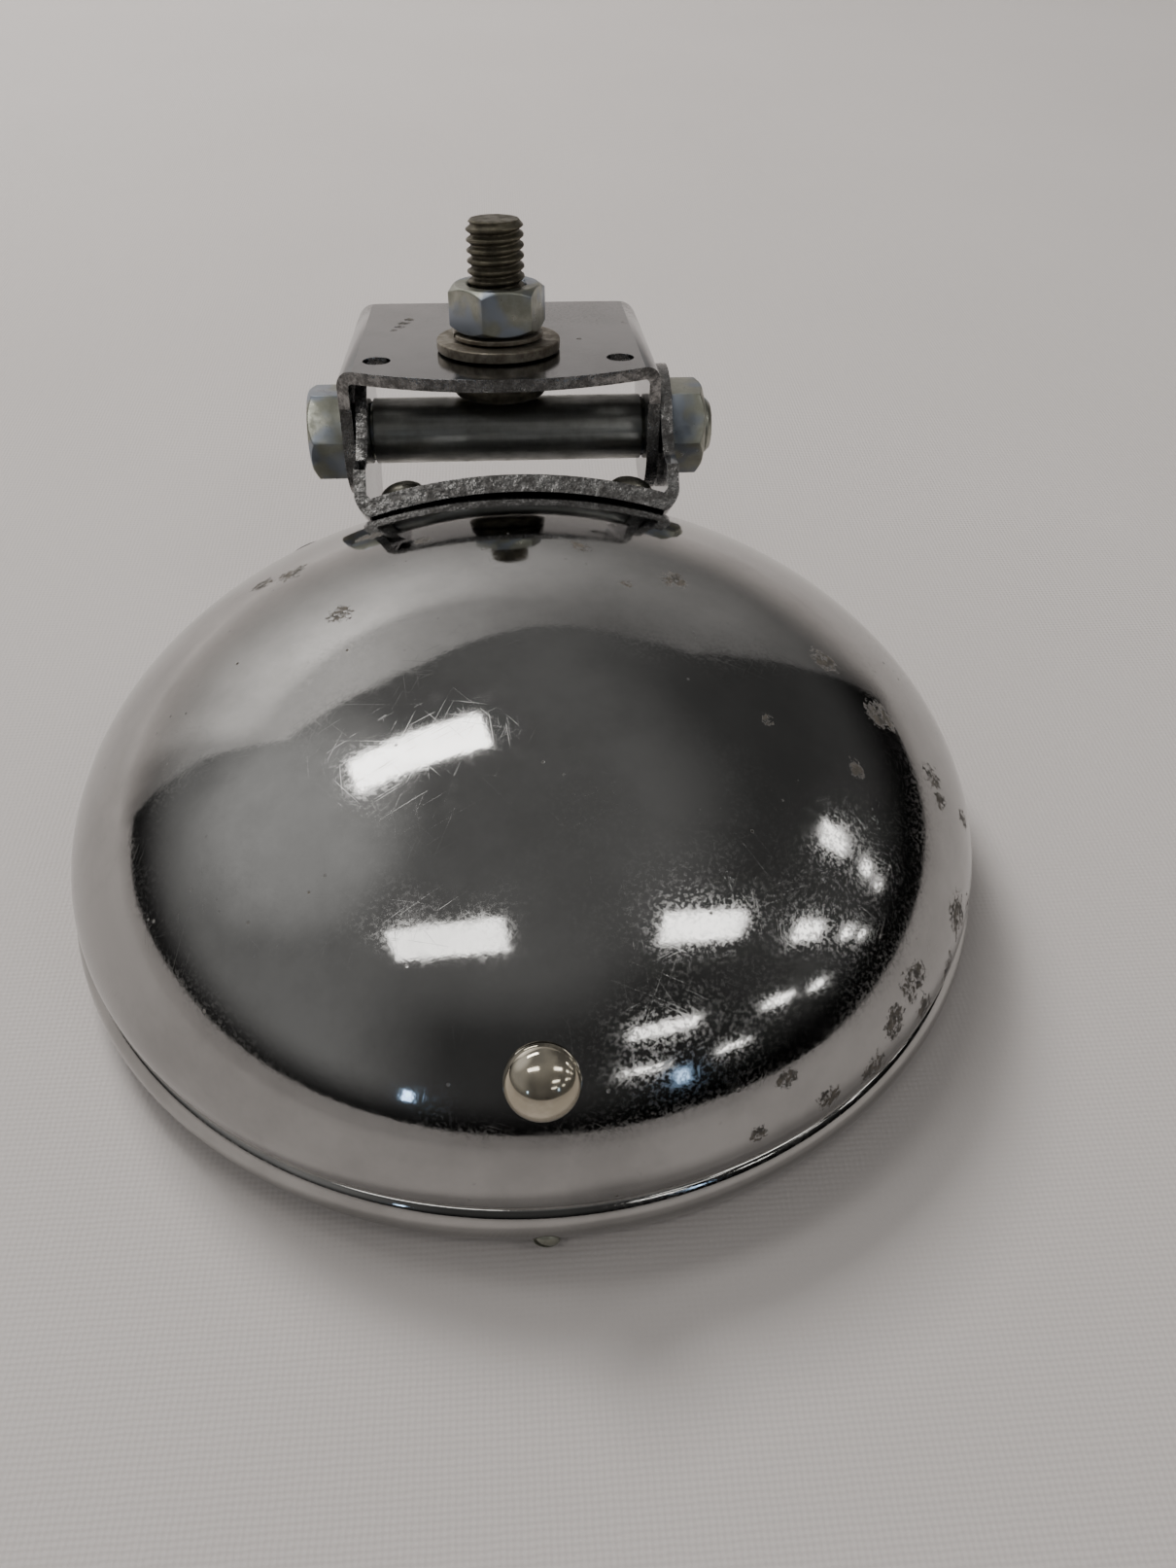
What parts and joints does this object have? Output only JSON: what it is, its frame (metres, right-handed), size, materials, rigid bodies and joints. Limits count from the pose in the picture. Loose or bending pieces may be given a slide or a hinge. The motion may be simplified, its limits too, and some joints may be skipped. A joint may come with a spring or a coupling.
{
  "type": "navigation light",
  "caption": "Round chrome-plated boat lamp with a domed back shell and half-round bezel, on a swivel bracket that tilts on a cross bolt and turns on a threaded stud.",
  "frame": {"origin": "centre of the bounding box at its base, in the plane of the bezel's front rim, on which the lamp lies lens down", "axes": "+Z along the lamp's optical axis from the lens to the back of the shell; +Y from the lamp's axis to the swivel bracket; X along the pivot bolt, its head on the -X side"},
  "size_m": [0.135, 0.1682, 0.0731],
  "materials": {
    "chrome_plate": "polished chrome plate, lightly pitted",
    "nickel_plate": "polished nickel plate",
    "zinc_plate": "aged zinc plate",
    "weathered_steel": "weathered steel",
    "dark_steel": "dark oxidised steel",
    "spring_steel": "plain spring steel",
    "black_rubber": "matte black rubber",
    "clear_glass": "clear pressed glass",
    "silvered_glass": "aluminised glass",
    "tungsten": "tungsten wire"
  },
  "bodies": {
    "lamp": {"housing_shell": "chrome_plate", "bezel_ring": "chrome_plate", "bezel_screw": "zinc_plate", "bezel_screw_nut": "spring_steel", "sealed_beam_lens": "clear_glass", "sealed_beam_reflector": "silvered_glass", "filament_coil": "tungsten", "filament_post_left": "spring_steel", "filament_post_right": "spring_steel", "terminal_post_left": "spring_steel", "terminal_post_right": "spring_steel", "terminal_screw_left": "spring_steel", "terminal_screw_right": "spring_steel", "lens_seal_ring": "black_rubber", "retaining_clip_1": "spring_steel", "retaining_clip_2": "spring_steel", "retaining_clip_3": "spring_steel", "retaining_clip_4": "spring_steel", "plug_button": "nickel_plate", "plug_spring_ring": "spring_steel", "cable_grommet": "black_rubber", "saddle_bracket": "chrome_plate", "saddle_rivet_left": "dark_steel", "saddle_rivet_right": "dark_steel", "pivot_bolt": "zinc_plate", "pivot_nut": "zinc_plate", "spacer_tube": "dark_steel"},
    "tilt_bracket": {"stud_bracket": "chrome_plate"},
    "stud": {"mount_stud": "weathered_steel", "stud_nut": "zinc_plate", "stud_flat_washer": "weathered_steel", "stud_lock_washer": "weathered_steel"}
  },
  "joints": [
    {"name": "bracket_tilt", "type": "hinge", "parent": "lamp", "child": "tilt_bracket", "pos_m": [0, 0.04878, 0.03887], "axis": [1, 0, 0], "range_deg": [-85, 38]},
    {"name": "stud_pan", "type": "hinge", "parent": "tilt_bracket", "child": "stud", "pos_m": [-0.002, 0.04878, 0.03887], "axis": [0, 0.165, 0.9863], "continuous": true}
  ]
}
